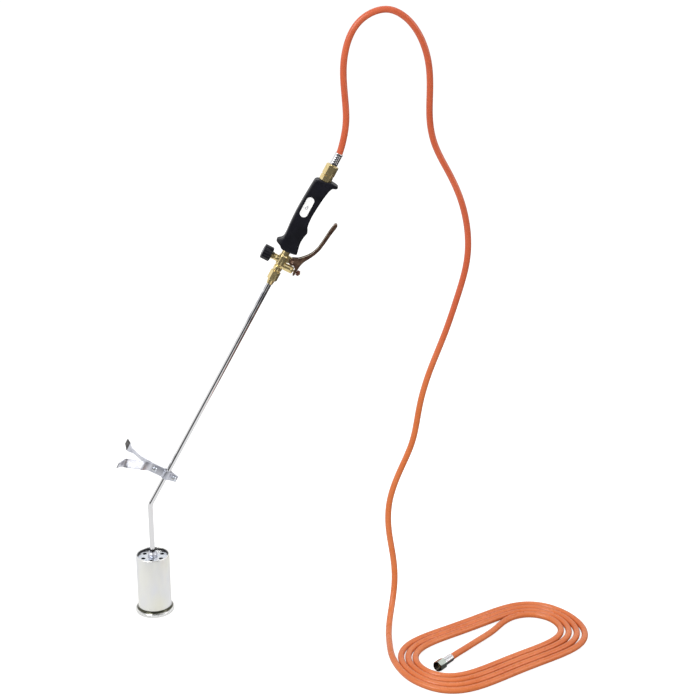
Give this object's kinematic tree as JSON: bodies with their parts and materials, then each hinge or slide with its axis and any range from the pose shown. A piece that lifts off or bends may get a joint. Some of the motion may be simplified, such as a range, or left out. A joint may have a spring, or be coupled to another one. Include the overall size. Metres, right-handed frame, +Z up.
{
  "type": "propane torch",
  "caption": "Roofing torch with a cylindrical burner on a bent lance, a brass valve with knob and lever, a black grip, a clamp-on stand and an orange gas hose with a union nut.",
  "frame": {"origin": "on the floor, in the middle of the torch's box without its hose; the burner stands on its mouth ring at X -0.1615 m", "axes": "+Z up along the burner, +X towards the grip and the hose, the torch's plane of symmetry is Y = 0"},
  "size_m": [0.903, 0.3794, 1.1828],
  "materials": {
    "burner_steel": "satin stainless, warm grey",
    "polished_steel": "polished",
    "chrome": "bright plated",
    "zinc": "zinc plated, slightly blue",
    "brass": "bright machined",
    "bronze": "dark bronze-brown coat",
    "copper": "red-brown passivated",
    "spring_steel": "drawn wire",
    "black_plastic": "satin moulded",
    "white_plastic": "blank plate",
    "black_rubber": "matte",
    "orange_rubber": "smooth, slight sheen"
  },
  "bodies": {
    "torch": {"burner_bell": "burner_steel", "bell_back_plate": "burner_steel", "mixer_tube": "burner_steel", "flame_retainer": "burner_steel", "mouth_ring": "polished_steel", "lance_pipe": "chrome", "hose_ferrule": "chrome", "end_ferrule": "chrome", "burner_boss": "zinc", "boss_nut": "zinc", "grip_screw_1": "zinc", "grip_screw_2": "zinc", "gas_jet": "brass", "lance_collar": "brass", "lance_union_nut": "brass", "lance_olive": "brass", "valve_body": "brass", "knob_gland_nut": "brass", "plunger_gland": "brass", "handle_tube": "brass", "inlet_nipple": "brass", "hose_union_nut": "brass", "hose_tail_nipple": "brass", "end_tail_nipple": "brass", "grip_front_shell": "black_plastic", "grip_rear_shell": "black_plastic", "name_plate": "white_plastic", "spindle_packing": "black_rubber", "hose_drop": "orange_rubber", "hose_coil": "orange_rubber", "hose_tail": "orange_rubber"},
    "knob": {"needle_spindle": "brass", "control_knob": "black_plastic", "knob_screw": "zinc"},
    "lever": {"lever": "bronze", "lever_pin": "copper"},
    "plunger": {"plunger": "brass", "seat_washer": "black_rubber", "pilot_nut": "copper", "return_spring": "spring_steel"},
    "stand": {"stand_front_leg": "zinc", "stand_rear_leg": "zinc", "stand_bolt_1": "zinc", "stand_bolt_2": "zinc", "stand_nut_1": "zinc", "stand_nut_2": "zinc"},
    "end_nut": {"end_union_nut": "polished_steel"}
  },
  "joints": [
    {"name": "knob_turn", "type": "hinge", "parent": "torch", "child": "knob", "pos_m": [0.07627, 0, 0.7394], "axis": [-0.8821, 0, 0.471], "range_deg": [0, 540]},
    {"name": "lever_squeeze", "type": "hinge", "parent": "torch", "child": "lever", "pos_m": [0.12235, 0, 0.72273], "axis": [0, -1, 0], "range_deg": [0, 20], "stiffness_Nm_per_rad": 0.3, "springref_deg": -20.05},
    {"name": "plunger_slide", "type": "slide", "parent": "torch", "child": "plunger", "axis": [0.8821, 0, -0.471], "range_m": [0, 0.0055], "deforming": ["return_spring"]},
    {"name": "stand_slide", "type": "slide", "parent": "torch", "child": "stand", "axis": [0.471, 0, 0.8821], "range_m": [-0.02, 0.25]},
    {"name": "end_nut_turn", "type": "hinge", "parent": "torch", "child": "end_nut", "pos_m": [0.3959, -0.22474, 0.0092], "axis": [-0.6428, -0.766, 0], "continuous": true}
  ],
  "couplings": [
    {"joint": "plunger_slide", "follows": "lever_squeeze", "m_per_rad": 0.015}
  ]
}
